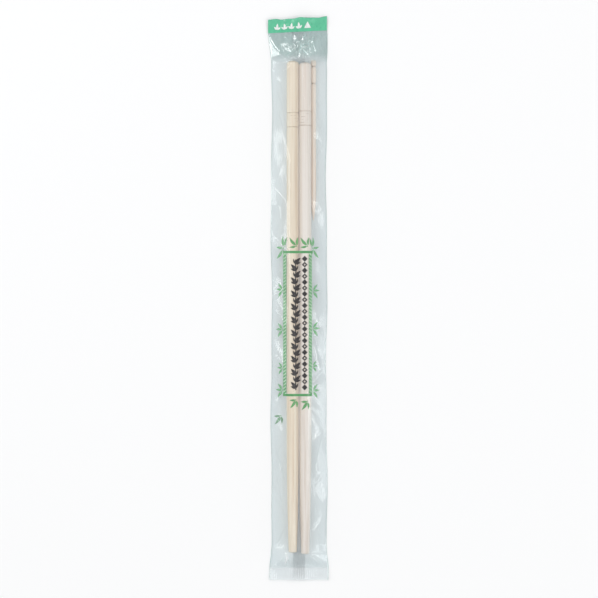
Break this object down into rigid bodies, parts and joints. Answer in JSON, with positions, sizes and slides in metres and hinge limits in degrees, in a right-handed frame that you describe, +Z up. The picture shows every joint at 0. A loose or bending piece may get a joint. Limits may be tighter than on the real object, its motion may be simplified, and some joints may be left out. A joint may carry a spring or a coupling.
{
  "type": "bamboo chopsticks",
  "caption": "Round tapered bamboo chopsticks with ring grooves, sealed with a toothpick in a clear printed film sleeve.",
  "frame": {"origin": "under the middle of the sleeve, on the surface that the wrapped set lies on", "axes": "+Y along the sticks towards their butts and the printed header, +X to the right as the printed front is read, +Z up out of the front"},
  "size_m": [0.0244, 0.229, 0.0054],
  "materials": {
    "bamboo": "smooth, unvarnished, with fine straight fibres",
    "toothpick": "smooth, unvarnished",
    "film": "clear, glossy, lightly creased",
    "green_print": "printed on the film, satin",
    "black_print": "printed on the film, satin",
    "white_print": "printed on the film, satin"
  },
  "bodies": {
    "root": {"chopstick_left": "bamboo", "chopstick_right": "bamboo", "toothpick": "toothpick", "film_sleeve": "film"}
  },
  "joints": []
}
